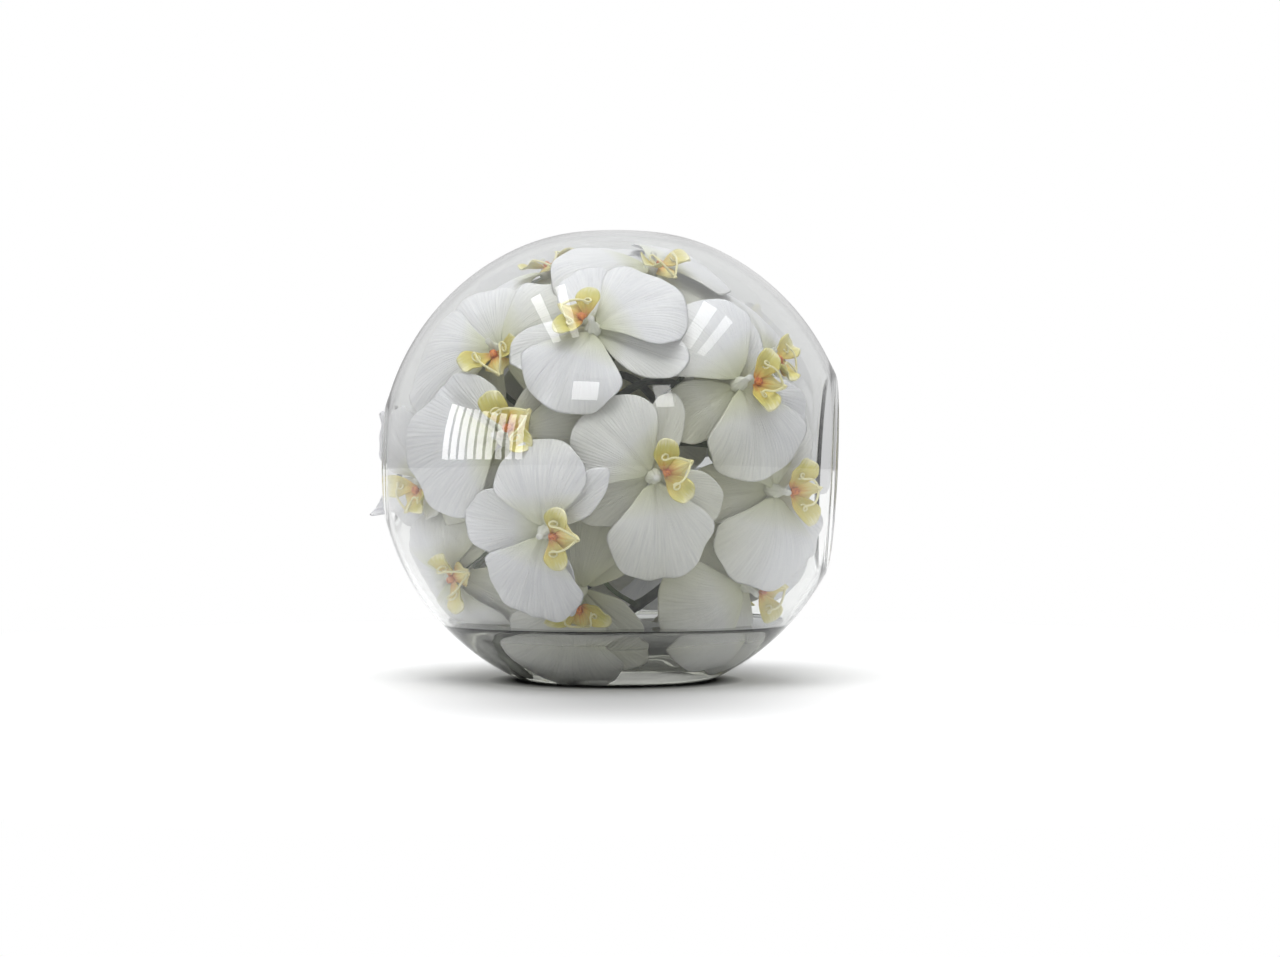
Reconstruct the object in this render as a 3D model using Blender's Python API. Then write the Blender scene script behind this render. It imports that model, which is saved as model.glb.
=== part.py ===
"""Vase of orchids: a round glass bowl with two side mouths, filled with white moth orchids on dark stems whose
feet are cast in clear faux water. Metres, +Z up. The origin is the centre of the bowl's flat base, on the
surface it stands on, and the front faces -Y."""

import math

import bmesh
import bpy
import numpy as np

# Glass bowl
BOWL_R = 0.130  # outer radius of the sphere
WALL = 0.003
FOOT_R = 0.053  # radius of the flat base
CENTRE_Z = math.sqrt(BOWL_R**2 - FOOT_R**2)  # height of the sphere's centre
FLOOR_T = 0.007  # thickness of the glass bottom
CROWN_DROP = 0.0027  # how far the top is flattened
CROWN_SPREAD = 0.028  # radius over which the flattening fades out
LEFT_MOUTH_X = -0.1258  # plane of the small mouth's ground rim
LEFT_BORE_R = 0.032
RIGHT_MOUTH_X = 0.1172  # plane of the large mouth's rim, at the centre's height
RIGHT_BORE_R = 0.053
RIGHT_MOUTH_LEAN = math.radians(2.7)  # the large mouth looks this much downwards
BOWL_SIDES = 32

# Faux water
WATER_TOP = 0.031
GAP = 0.0003  # clearance between pieces that touch
SLOT_CLEARANCE = 0.0009  # by which a slot is larger than its petal all round

# Petals, sepals and lip
BLADE_T = 0.0008
LIP_T = 0.0009
REACH = 0.1245  # no petal inside the bowl reaches further from the centre than this
SOFT = 0.004  # depth over which a petal bends along the glass or the water
CLEAR_OF_WATER = 0.0012
CLEAR_OF_FLOOR = 0.0025  # for petals that dip into the water
SPILL_R = 0.0285  # petals that spill out of the left mouth are gathered to this radius
SPILL_X = -0.125  # in this plane
SPILL_IN = 0.65  # and may widen this much per length on the way in
SPILL_OUT = 0.5  # and this much outside

# Stems
STEM_R = 0.0029
STEM_TIP_R = 0.0021
STALK_R = 0.0013
STALK_RADIAL = 0.015  # straight run of a flower stalk behind its bloom
STALK_GAP = 0.0004
CALYX_DEPTH = 0.0062  # how far a bloom's calyx reaches behind its centre

# One bloom: each blade's turn from the dorsal sepal, its length, half width, height of root, bow, cup and claw
BLADES = {
    "dorsal": dict(turn=0, length=0.046, half=0.0170, root=-0.0012, bow=-0.002, cup=0.002, claw=0.62),
    "sepal_a": dict(turn=128, length=0.044, half=0.0145, root=-0.0012, bow=-0.002, cup=0.002, claw=0.62),
    "sepal_b": dict(turn=-128, length=0.044, half=0.0145, root=-0.0012, bow=-0.002, cup=0.002, claw=0.62),
    "petal_a": dict(turn=76, length=0.050, half=0.0262, root=0.0016, bow=0.003, cup=-0.002, claw=0.42),
    "petal_b": dict(turn=-76, length=0.050, half=0.0262, root=0.0016, bow=0.003, cup=-0.002, claw=0.42),
}
BLADE_ROOT_R = 0.002
BLADE_CELLS = {"petal": (3, 3), "sepal": (3, 2), "dorsal": (3, 2)}
SPILL_CELLS = {"petal": (5, 4), "sepal": (4, 2), "dorsal": (3, 2)}
WAVE = 0.0008
COLUMN_RINGS = ((-0.0036, 0.0030), (0.0004, 0.0046), (0.0046, 0.0020), (0.0092, 0.0016))
COLUMN_TOP = 0.0105
COLUMN_SIDES = 5
LIP_SPOKES = 12
LIP_RINGS = 2


def bloom(name, azimuth, elevation, depth_mm, spin, **more):
    """One line of the arrangement. azimuth and elevation: where the bloom sits, seen from the sphere's centre,
    with 0 at the front and + to the right; depth_mm: its distance from the centre; spin: the direction of its
    dorsal sepal, 0 to the right and 90 up; tilt: slopes to the right and up; lip: how far the lip is swung;
    curl: the radius of the sphere it is bent round; dips: it may reach into the water; spills: it passes the
    left mouth; blades: turn, length, width and lift of single blades."""
    row = dict(name=name, azimuth=azimuth, elevation=elevation, depth=depth_mm / 1000, spin=spin)
    row.update(tilt=(0, 0), size=1.0, lip=0, curl=depth_mm / 1000, dips=False, spills=False, blades={})
    row.update(more)
    return row


LEFT_STEM = "stem_left"
FRONT_STEM = "stem_front"
BACK_STEM = "stem_back"

ARRANGEMENT = {
    LEFT_STEM: [
        bloom("01", -7, 37, 113, 319, tilt=(0, 0.1), lip=-10, blades=dict(
            dorsal=(-27, 1.1, 0.9, 0), petal_a=(-6, 0.94, 1, 0), sepal_a=(0, 1.05, 1, 0), sepal_b=(-15, 1.12, 1, 0))),
        bloom("02", -70, -33, 111, 180, tilt=(-0.6, -0.2), blades=dict(petal_a=(15, 0.75, 1, -0.009))),
        bloom("03", -47, 35, 102, 125, tilt=(-0.4, 0.15), blades=dict(
            dorsal=(-15, 0.88, 1.2, 0.001), petal_a=(0, 1, 1, -0.002), petal_b=(0, 1, 1, -0.002))),
        bloom("04", -76, -5, 103, 66, tilt=(-0.6, 0), curl=0.4, spills=True, lip=10, blades=dict(
            petal_a=(0, 0.7, 0.8, 0), dorsal=(0, 0.8, 1, 0), sepal_a=(0, 0.45, 0.8, 0.009),
            petal_b=(13, 0.95, 0.65, 0), sepal_b=(-11, 1.25, 0.85, 0))),
        bloom("05", -84, 33, 98, 150, blades=dict(petal_a=(0, 1, 1, -0.006))),
        bloom("06", -95, 70, 112, 200, tilt=(-0.35, 0), blades=dict(
            petal_a=(0, 1, 1, 0.004), sepal_a=(0, 0.9, 1, 0.005), sepal_b=(0, 1, 1, 0.005))),
        bloom("07", 30, 70, 111, 105, tilt=(0, 0.35), blades=dict(
            dorsal=(0, 0.94, 1, -0.004), petal_b=(0, 1, 1, -0.008), sepal_b=(0, 1, 1, -0.005),
            sepal_a=(0, 0.9, 1, 0))),
        bloom("08", -112, -34, 111, 50, blades=dict(petal_a=(0, 1, 1, -0.003), petal_b=(0, 1, 1, -0.009))),
        bloom("09", -138, 38, 104, 130),
    ],
    FRONT_STEM: [
        bloom("10", 40, 22, 108, 204, tilt=(0.3, 0.12), lip=40, blades=dict(petal_a=(12, 1, 1, 0))),
        bloom("11", 11, -4, 104, 203, blades=dict(
            dorsal=(0, 1, 1, -0.005), sepal_a=(0, 1, 0.7, 0), petal_a=(-10, 0.92, 0.96, -0.001),
            petal_b=(0, 1.1, 1, 0))),
        bloom("12", -19, -18, 113, 174, tilt=(0, -0.1), blades=dict(
            dorsal=(0, 1, 1, 0.003), petal_a=(5, 0.93, 0.93, 0), petal_b=(0, 0.95, 0.95, 0),
            sepal_a=(5, 1, 0.6, 0.006), sepal_b=(22, 1, 0.5, 0.003))),
        bloom("13", 54, -8, 104, 188, tilt=(0.45, -0.1)),
        bloom("14", 57, -38, 104, 148, tilt=(0.45, -0.35), dips=True, lip=-50),
        bloom("15", -15, -43, 97, 172, tilt=(-0.1, -0.35), dips=True, lip=80, blades=dict(
            sepal_b=(0, 1, 0.8, 0), petal_a=(8, 0.8, 1, 0))),
        bloom("16", -33, 7, 104, 275, tilt=(-0.3, 0.05), size=1.08, lip=55, blades=dict(
            dorsal=(0, 1, 1, -0.006), petal_b=(0, 0.9, 1, 0))),
        bloom("17", 72, 34, 100, 130, tilt=(0.3, 0.05), blades=dict(
            sepal_b=(0, 1, 1, 0.006), dorsal=(0, 0.9, 1, 0))),
        bloom("18", 80, -48, 94, 120, tilt=(0.15, -0.1), blades=dict(
            petal_a=(0, 1, 1, -0.006), petal_b=(-14, 1, 0.95, 0))),
    ],
    BACK_STEM: [
        bloom("19", 98, 8, 93, 100, blades=dict(petal_b=(0, 1, 1, -0.004))),
        bloom("20", 128, 45, 104, 60),
        bloom("21", 175, 62, 94, 0),
        bloom("22", 138, 6, 112, 150),
        bloom("23", -130, 4, 112, 30),
        bloom("24", 180, 18, 96, 270, blades=dict(sepal_b=(0, 1, 1, -0.003))),
        bloom("25", 165, -24, 112, 210),
        bloom("26", 122, -34, 103, 330, blades=dict(sepal_a=(0, 1, 1, 0.006))),
        bloom("27", -150, -35, 102, 100, blades=dict(petal_a=(0, 1, 1, -0.004))),
    ],
}

# Routes of the stems from foot to tip, chosen by hand, as (x, y, height above the sphere's centre)
ROUTES = {
    LEFT_STEM: (
        (-0.046, -0.032, -0.1085), (-0.053, -0.026, -0.088), (-0.060, -0.006, -0.045), (-0.060, 0.004, -0.005),
        (-0.048, 0.006, 0.032), (-0.020, 0.000, 0.056), (0.012, -0.006, 0.062), (0.034, -0.012, 0.060)),
    FRONT_STEM: (
        (-0.020, -0.012, -0.1085), (-0.006, -0.020, -0.090), (0.010, -0.029, -0.078), (0.028, -0.034, -0.064),
        (0.048, -0.028, -0.040), (0.058, -0.020, -0.005), (0.048, -0.028, 0.030), (0.024, -0.044, 0.044),
        (0.000, -0.053, 0.034), (-0.022, -0.050, 0.014)),
    BACK_STEM: (
        (-0.044, -0.006, -0.1085), (-0.036, 0.022, -0.090), (-0.010, 0.046, -0.062), (0.024, 0.054, -0.022),
        (0.030, 0.050, 0.020), (0.006, 0.048, 0.050), (-0.026, 0.040, 0.042), (-0.046, 0.030, 0.012)),
}
STEM_STEP = 0.012  # length of a stem's straight pieces


def new_material(name, colour, roughness, transmission=0.0, metallic=0.0):
    material = bpy.data.materials.new(name)
    material.use_nodes = True
    shader = material.node_tree.nodes["Principled BSDF"]
    shader.inputs["Base Color"].default_value = (*colour, 1)
    shader.inputs["Roughness"].default_value = roughness
    shader.inputs["Transmission Weight"].default_value = transmission
    shader.inputs["Metallic"].default_value = metallic
    material.diffuse_color = (*colour, 1)
    return material


def mesh_object(name, points, faces, material=None):
    mesh = bpy.data.meshes.new(name)
    mesh.from_pydata([tuple(p) for p in points], [], [tuple(int(i) for i in f) for f in faces])
    if material:
        mesh.materials.append(material)
    obj = bpy.data.objects.new(name, mesh)
    bpy.context.collection.objects.link(obj)
    return obj


def face_out(obj):
    """Turns every face of a closed mesh outwards."""
    edit = bmesh.new()
    edit.from_mesh(obj.data)
    bmesh.ops.remove_doubles(edit, verts=edit.verts, dist=1e-6)
    bmesh.ops.recalc_face_normals(edit, faces=edit.faces)
    edit.to_mesh(obj.data)
    edit.free()


def shade_round(mesh):
    mesh.shade_smooth()
    mesh.set_sharp_from_angle(angle=math.radians(40))


def apply_modifiers(obj):
    """Puts the evaluated shape into the object's own mesh."""
    evaluated = obj.evaluated_get(bpy.context.evaluated_depsgraph_get())
    mesh = bpy.data.meshes.new_from_object(evaluated)
    mesh.name = obj.name
    obj.modifiers.clear()
    obj.data = mesh


def join_all(obj, others, operation="UNION"):
    """One Boolean with a collection of closed meshes, which are then removed."""
    group = bpy.data.collections.new(obj.name + "_pieces")
    bpy.context.scene.collection.children.link(group)
    for other in others:
        group.objects.link(other)
    step = obj.modifiers.new("join", "BOOLEAN")
    step.operation = operation
    step.operand_type = "COLLECTION"
    step.collection = group
    step.solver = "EXACT"
    apply_modifiers(obj)
    for other in others:
        bpy.data.objects.remove(other)
    bpy.data.collections.remove(group)


def turned(name, profile, sides, material=None):
    """A solid of revolution round Z from (radius, height) points whose two ends lie on the axis."""
    edit = bmesh.new()
    verts = [edit.verts.new((r, 0, z)) for r, z in profile]
    edges = [edit.edges.new(pair) for pair in zip(verts, verts[1:], strict=False)]
    bmesh.ops.spin(
        edit, geom=verts + edges, cent=(0, 0, 0), axis=(0, 0, 1), angle=2 * math.pi, steps=sides, use_merge=True)
    bmesh.ops.remove_doubles(edit, verts=edit.verts, dist=1e-6)
    bmesh.ops.recalc_face_normals(edit, faces=edit.faces)
    mesh = bpy.data.meshes.new(name)
    edit.to_mesh(mesh)
    edit.free()
    shade_round(mesh)
    if material:
        mesh.materials.append(material)
    obj = bpy.data.objects.new(name, mesh)
    bpy.context.collection.objects.link(obj)
    return obj


def shell_point(radius, angle):
    """A point of the bowl's profile: angle from the top, on a sphere whose crown is pressed a little flat."""
    r = radius * math.sin(angle)
    z = CENTRE_Z + radius * math.cos(angle)
    if angle < math.pi / 2:
        z -= CROWN_DROP * math.exp(-((r / CROWN_SPREAD) ** 2))
    return r, z


def sphere_profile(radius, lowest_z, rows):
    """From the axis at the top down the sphere to the height lowest_z, then straight in to the axis."""
    last = math.acos((lowest_z - CENTRE_Z) / radius)
    points = [shell_point(radius, last * (i / rows) ** 0.9) for i in range(rows + 1)]
    points[0] = (0, points[0][1])
    return points + [(0, lowest_z)]


def hollow_angles():
    """Angles from the top of the inner wall's rings: down to the water's top, then along the water's side."""
    radius = BOWL_R - WALL
    top, bottom = (math.acos((z - CENTRE_Z) / radius) for z in (WATER_TOP, FLOOR_T))
    return list(np.linspace(0, top, 12)), list(np.linspace(top, bottom, 4))


def make_bowl(material):
    bowl = turned("glass_bowl", sphere_profile(BOWL_R, 0, 13), BOWL_SIDES, material)
    above, below = hollow_angles()
    inner = [shell_point(BOWL_R - WALL, angle) for angle in above + below[1:]]
    hollow = turned("bowl_hollow", [(0, inner[0][1]), *inner[1:], (0, FLOOR_T)], BOWL_SIDES)
    cutters = [hollow]
    for name, bore, x, turn in (
        ("mouth_left_cutter", LEFT_BORE_R, LEFT_MOUTH_X, -math.pi / 2),
        ("mouth_right_cutter", RIGHT_BORE_R, RIGHT_MOUTH_X, math.pi / 2 + RIGHT_MOUTH_LEAN),
    ):
        wide, out, deep = 1.5 * bore, 0.03, 0.025
        profile = [(0, out), (wide, out), (wide, 0), (bore, 0), (bore, -deep), (0, -deep)]
        cutter = turned(name, profile, BOWL_SIDES)
        cutter.location = (x, 0, CENTRE_Z)
        cutter.rotation_euler = (0, turn, 0)
        cutters.append(cutter)
    for cutter in cutters:
        step = bowl.modifiers.new(cutter.name, "BOOLEAN")
        step.operation = "DIFFERENCE"
        step.object = cutter
        step.solver = "EXACT"
        cutter.hide_render = True
        cutter.display_type = "WIRE"
    return bowl


def directions(row):
    """A bloom's own axes x, y (towards the dorsal sepal) and out, with the bowl's right and up at that place."""
    a, e, s = np.radians([row["azimuth"], row["elevation"], row["spin"]])
    out = np.array([np.cos(e) * np.sin(a), -np.cos(e) * np.cos(a), np.sin(e)])
    right = np.array([np.cos(a), np.sin(a), 0.0])
    up = np.cross(out, right)
    y = np.cos(s) * right + np.sin(s) * up
    return np.cross(y, out), y, out, right, up


def within(distance, limit):
    """The factor that brings a distance softly below its limit."""
    start = limit - SOFT
    return np.where(distance > start, start + SOFT * np.tanh((distance - start) / SOFT), distance) / distance


def place(x, y, z, row):
    """From a bloom's own coordinates into the bowl. The bloom is tilted and bent round a sphere; what would pass
    the glass is bent along it, and what would reach the water is bent clear, unless it dips in."""
    ax, ay, out, right, up = directions(row)
    x, y, z = x * row["size"], y * row["size"], z * row["size"]
    s = np.sqrt(x * x + y * y) + 1e-9
    to_right, to_up = row["tilt"]
    z = z + to_right * (x * (ax @ right) + y * (ay @ right)) + to_up * (x * (ax @ up) + y * (ay @ up))
    curl = row["curl"]
    along = (curl + z) * np.sin(s / curl) / s
    height = row["depth"] - curl + (curl + z) * np.cos(s / curl)
    p = (x * along)[..., None] * ax + (y * along)[..., None] * ay + height[..., None] * out
    if row["spills"]:
        x = p[..., 0]
        limit = SPILL_R + np.where(x > SPILL_X, SPILL_IN * (x - SPILL_X), SPILL_OUT * (SPILL_X - x))
        p[..., 1:] *= within(np.linalg.norm(p[..., 1:], axis=-1), limit)[..., None]
    else:
        p *= within(np.linalg.norm(p, axis=-1), REACH)[..., None]
    floor = (FLOOR_T + CLEAR_OF_FLOOR if row["dips"] else WATER_TOP + CLEAR_OF_WATER) - CENTRE_Z
    over = p[..., 2] - floor
    p[..., 2] = floor + np.where(over < SOFT, SOFT * np.exp(np.minimum(over / SOFT - 1, 0)), over)
    crown = np.exp(-((p[..., 0] ** 2 + p[..., 1] ** 2) / CROWN_SPREAD**2))
    p[..., 2] += CENTRE_Z - CROWN_DROP * crown * np.clip(p[..., 2] / REACH, 0, 1)
    return p


def blade_points(u, v, name, row):
    """A blade over the unit disk: u runs from root (-1) to tip (1), v across. The disk is stretched to the
    blade's length and width, narrowed to a claw at the root, bowed, cupped and waved along its edge."""
    blade = BLADES[name]
    turn, longer, wider, lift = row["blades"].get(name, (0, 1, 1, 0))
    t = (1 + u) / 2
    r = BLADE_ROOT_R + blade["length"] * longer * t
    widening = np.clip(t / 0.5, 0, 1)
    widening = widening**2 * (3 - 2 * widening)
    w = blade["half"] * wider * v * (blade["claw"] + (1 - blade["claw"]) * widening)
    phase = 1.7 * list(BLADES).index(name)
    wave = WAVE * np.sin(5 * np.arctan2(v, u + 1.3) + phase + 2.2 * u) * (u * u + v * v) * t
    z = blade["root"] + blade["bow"] * np.sin(np.pi * t) + blade["cup"] * v * v * t + lift * t + wave
    a = math.radians(blade["turn"] + turn)
    return place(r * math.sin(a) + w * math.cos(a), r * math.cos(a) - w * math.sin(a), z, row)


def disk_grid(rows, columns):
    """A square grid pressed round into the unit disk, and its triangles, whose diagonals point at the rim."""
    s, t = np.meshgrid(np.linspace(-1, 1, rows + 1), np.linspace(-1, 1, columns + 1), indexing="ij")
    faces = []
    for i in range(rows):
        for j in range(columns):
            a, b = i * (columns + 1) + j, (i + 1) * (columns + 1) + j
            same = (s[i, j] + s[i + 1, j]) * (t[i, j] + t[i, j + 1]) >= 0
            faces += [(a, b, b + 1), (a, b + 1, a + 1)] if same else [(a, b, a + 1), (b, b + 1, a + 1)]
    return s * np.sqrt(1 - t * t / 2), t * np.sqrt(1 - s * s / 2), faces


def sheet(name, points, faces, thickness):
    """A thin blade: a triangulated sheet thickened alike to both sides."""
    obj = mesh_object(name, points.reshape(-1, 3), faces)
    step = obj.modifiers.new("thickness", "SOLIDIFY")
    step.thickness = thickness
    step.offset = 0
    apply_modifiers(obj)
    face_out(obj)
    return obj


def blade(name, row):
    cells = SPILL_CELLS if row["spills"] else BLADE_CELLS
    u, v, faces = disk_grid(*cells[name.split("_")[0]])
    return sheet(name, blade_points(u, v, name, row), faces, BLADE_T)


def slot(name, row):
    """A blade swollen all round, which cuts the slot that the blade stands in."""
    obj = blade(name, row)
    step = obj.modifiers.new("clearance", "DISPLACE")
    step.strength = SLOT_CLEARANCE
    step.mid_level = 0
    apply_modifiers(obj)
    return obj


def column(name, row, material):
    """The middle of a bloom in one piece: calyx behind, core where the blades meet, white column in front."""
    angles = np.arange(COLUMN_SIDES) * 2 * np.pi / COLUMN_SIDES + 0.3
    x, y, z = [0.0], [0.0], [-CALYX_DEPTH]
    for height, radius in COLUMN_RINGS:
        x += list(radius * np.cos(angles))
        y += list(radius * np.sin(angles))
        z += [height] * COLUMN_SIDES
    points = place(*(np.array([*values, end]) for values, end in ((x, 0.0), (y, 0.0), (z, COLUMN_TOP))), row)
    last = len(points) - 1
    faces = []
    for k in range(COLUMN_SIDES):
        n = (k + 1) % COLUMN_SIDES
        faces.append((0, 1 + n, 1 + k))
        for ring in range(len(COLUMN_RINGS) - 1):
            a, b = 1 + ring * COLUMN_SIDES + k, 1 + ring * COLUMN_SIDES + n
            faces += [(a, b, b + COLUMN_SIDES), (a, b + COLUMN_SIDES, a + COLUMN_SIDES)]
        faces.append((last, last - COLUMN_SIDES + k, last - COLUMN_SIDES + n))
    obj = mesh_object(name, points, faces, material)
    face_out(obj)
    return obj


def lip_points(angle, reach, row):
    """The lip in polar form: angle 0 at the middle lobe's tip, reach from 0 in the throat to 1 at the edge. Its
    radius swells at the middle lobe and at the two side lobes, which also stand up."""
    d = np.abs(np.degrees((angle + np.pi) % (2 * np.pi) - np.pi))
    middle, side = np.exp(-((d / 34) ** 2)), np.exp(-(((d - 105) / 36) ** 2))
    r = (0.0017 + 0.0122 * middle + 0.0104 * side) * reach
    z = 0.0053 + (0.0060 * side + 0.0010 * middle) * reach**2 - 0.0012 * np.sin(np.pi * reach) * middle
    x, y = -r * np.sin(angle), -r * np.cos(angle) - 0.0045
    q = math.radians(row["lip"])
    return place(x * math.cos(q) + y * math.sin(q), y * math.cos(q) - x * math.sin(q), z, row)


def lip(name, row, material):
    row = {**row, "dips": False}
    angle, reach = np.meshgrid(
        np.arange(LIP_SPOKES) * 2 * np.pi / LIP_SPOKES, np.arange(1, LIP_RINGS + 1) / LIP_RINGS, indexing="ij")
    throat = lip_points(np.zeros(1), np.zeros(1), row)
    points = np.vstack([throat, lip_points(angle, reach, row).reshape(-1, 3)])
    faces = []
    for i in range(LIP_SPOKES):
        a, b = 1 + i * LIP_RINGS, 1 + (i + 1) % LIP_SPOKES * LIP_RINGS
        faces.append((0, b, a))
        for k in range(LIP_RINGS - 1):
            faces += [(a + k, b + k, b + k + 1), (a + k, b + k + 1, a + k + 1)]
    obj = sheet(name, points, faces, LIP_T)
    obj.data.materials.append(material)
    obj.data.shade_smooth()
    return obj


def smooth_route(points, step):
    """Points at even steps along a smooth curve (Catmull-Rom) through the given ones."""
    p = np.array(points)
    p = np.vstack([2 * p[0] - p[1], p, 2 * p[-1] - p[-2]])
    t = np.linspace(0, 1, 24, endpoint=False)[:, None]
    dense = [
        0.5 * (2 * b + (c - a) * t + (2 * a - 5 * b + 4 * c - d) * t**2 + (3 * b - a - 3 * c + d) * t**3)
        for a, b, c, d in zip(p, p[1:], p[2:], p[3:], strict=False)
    ]
    dense = np.vstack([*dense, p[-2:-1]])
    length = np.concatenate([[0], np.cumsum(np.linalg.norm(np.diff(dense, axis=0), axis=1))])
    even = np.linspace(0, length[-1], max(int(round(length[-1] / step)), 2) + 1)
    return np.stack([np.interp(even, length, dense[:, i]) for i in range(3)], axis=1)


def tube(name, points, radii, sides_level, material=None):
    """A round bar along points: a bevelled curve with filled caps, made a mesh and welded."""
    curve = bpy.data.curves.new(name, "CURVE")
    curve.dimensions = "3D"
    curve.bevel_depth = 1.0
    curve.bevel_resolution = sides_level
    curve.use_fill_caps = True
    spline = curve.splines.new("POLY")
    spline.points.add(len(points) - 1)
    for target, point, radius in zip(spline.points, points, radii, strict=True):
        target.co = (*point, 1)
        target.radius = radius
    guide = bpy.data.objects.new(name + "_route", curve)
    bpy.context.collection.objects.link(guide)
    evaluated = guide.evaluated_get(bpy.context.evaluated_depsgraph_get())
    mesh = bpy.data.meshes.new_from_object(evaluated)
    bpy.data.objects.remove(guide)
    mesh.name = name
    mesh.materials.clear()
    if material:
        mesh.materials.append(material)
    obj = bpy.data.objects.new(name, mesh)
    bpy.context.collection.objects.link(obj)
    face_out(obj)
    return obj


def stalk_route(row, stem_points):
    """A flower stalk: from the stem's nearest point, in one bend, straight into the back of its bloom."""
    out = directions(row)[2]
    back = -CALYX_DEPTH - STALK_GAP / row["size"]
    end = place(np.zeros(1), np.zeros(1), np.array([back]), row)[0] - np.array([0, 0, CENTRE_Z])
    turn = end - out * STALK_RADIAL
    start = stem_points[np.argmin(np.linalg.norm(stem_points - turn, axis=1))]
    middle = (start + turn) / 2 + out * 0.004
    return np.vstack([smooth_route([start, middle, turn], 0.013), end])


def make_stem(name, rows, material):
    centre = np.array([0, 0, CENTRE_Z])
    route = smooth_route(ROUTES[name], STEM_STEP)
    radii = np.linspace(STEM_R, STEM_TIP_R, len(route))
    stem = tube(name, route + centre, radii, 1, material)
    stalks = []
    for row in rows:
        points = stalk_route(row, route)
        stalks.append(tube("stalk_" + row["name"], points + centre, [STALK_R] * len(points), 0))
    join_all(stem, stalks)
    shade_round(stem.data)
    return stem


def make_water(material):
    """A cast disc that fills the bowl's bottom, with plain holes for the stems' feet and slots for petals."""
    side = [shell_point(BOWL_R - WALL - GAP, angle) for angle in hollow_angles()[1]]
    top, bottom = side[0][1], side[-1][1]
    water = turned("faux_water", [(0, top), *side, (0, bottom)], BOWL_SIDES, material)
    centre = np.array([0, 0, CENTRE_Z])
    cutters = []
    for name, points in ROUTES.items():
        route = smooth_route(points, STEM_STEP)
        route = route[route[:, 2] < WATER_TOP - CENTRE_Z + STEM_STEP]
        route[0] += (route[0] - route[1]) / STEM_STEP * GAP
        cutters.append(tube(name + "_hole", route + centre, [STEM_R + GAP] * len(route), 1))
    for rows in ARRANGEMENT.values():
        for row in rows:
            if row["dips"]:
                cutters += [slot(name, row) for name in BLADES]
    join_all(water, cutters, "DIFFERENCE")
    return water


def main():
    for obj in list(bpy.data.objects):
        bpy.data.objects.remove(obj)
    glass = new_material("clear_glass", (0.94, 0.96, 0.95), 0.02, transmission=1.0)
    resin = new_material("faux_water", (0.95, 0.95, 0.90), 0.03, transmission=1.0)
    petal_white = new_material("petal_white", (0.86, 0.86, 0.87), 0.55)
    lip_yellow = new_material("lip_yellow", (0.74, 0.62, 0.22), 0.5)
    stem_dark = new_material("stem_dark", (0.035, 0.045, 0.035), 0.45)
    bowl = make_bowl(glass)
    water = make_water(resin)
    water.parent = bowl
    for name, rows in ARRANGEMENT.items():
        stem = make_stem(name, rows, stem_dark)
        stem.parent = water
        for row in rows:
            petals = column("petals_" + row["name"], row, petal_white)
            join_all(petals, [blade(blade_name, row) for blade_name in BLADES])
            petals.parent = stem
            lip("lip_" + row["name"], row, lip_yellow).parent = petals


main()
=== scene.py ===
"""Vase of orchids, dressed: fine petals, lips, stems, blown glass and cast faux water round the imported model.
Metres, +Z up, origin in the middle of the bowl's base, front towards -Y."""

import math

import bpy
import numpy as np
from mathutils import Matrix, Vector


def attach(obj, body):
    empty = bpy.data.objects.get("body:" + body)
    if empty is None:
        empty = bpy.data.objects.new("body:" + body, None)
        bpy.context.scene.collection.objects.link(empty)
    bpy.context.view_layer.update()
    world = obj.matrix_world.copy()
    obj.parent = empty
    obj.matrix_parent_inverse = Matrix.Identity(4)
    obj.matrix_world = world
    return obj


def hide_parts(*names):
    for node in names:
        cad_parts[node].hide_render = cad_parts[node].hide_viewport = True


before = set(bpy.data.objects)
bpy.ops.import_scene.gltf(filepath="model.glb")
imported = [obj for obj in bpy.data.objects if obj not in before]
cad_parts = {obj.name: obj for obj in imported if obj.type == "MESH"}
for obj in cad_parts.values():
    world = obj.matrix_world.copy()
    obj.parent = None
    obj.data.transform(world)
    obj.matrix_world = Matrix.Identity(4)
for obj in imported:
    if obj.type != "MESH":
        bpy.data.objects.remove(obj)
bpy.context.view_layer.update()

# Glass bowl and faux water, as in the part
BOWL_R = 0.130
WALL = 0.003
FOOT_R = 0.053
CENTRE_Z = math.sqrt(BOWL_R**2 - FOOT_R**2)
FLOOR_T = 0.007
CROWN_DROP = 0.0027
CROWN_SPREAD = 0.028
LEFT_BORE_R = 0.032
RIGHT_BORE_R = 0.053
RIGHT_MOUTH_LEAN = math.radians(2.7)
WATER_TOP = 0.031
CENTRE = np.array([0, 0, CENTRE_Z])
MENISCUS = 0.0011  # rise of the water's edge at the glass
MENISCUS_REACH = 0.0014
SET_IN = 0.0002  # how far the water is set into the glass
RIM_SWELL = 0.00035  # how far the rims of the mouths stand out from the wall
FOOT_ROUNDING = 0.0006
FLOOR_ROUNDING = 0.0015

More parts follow.
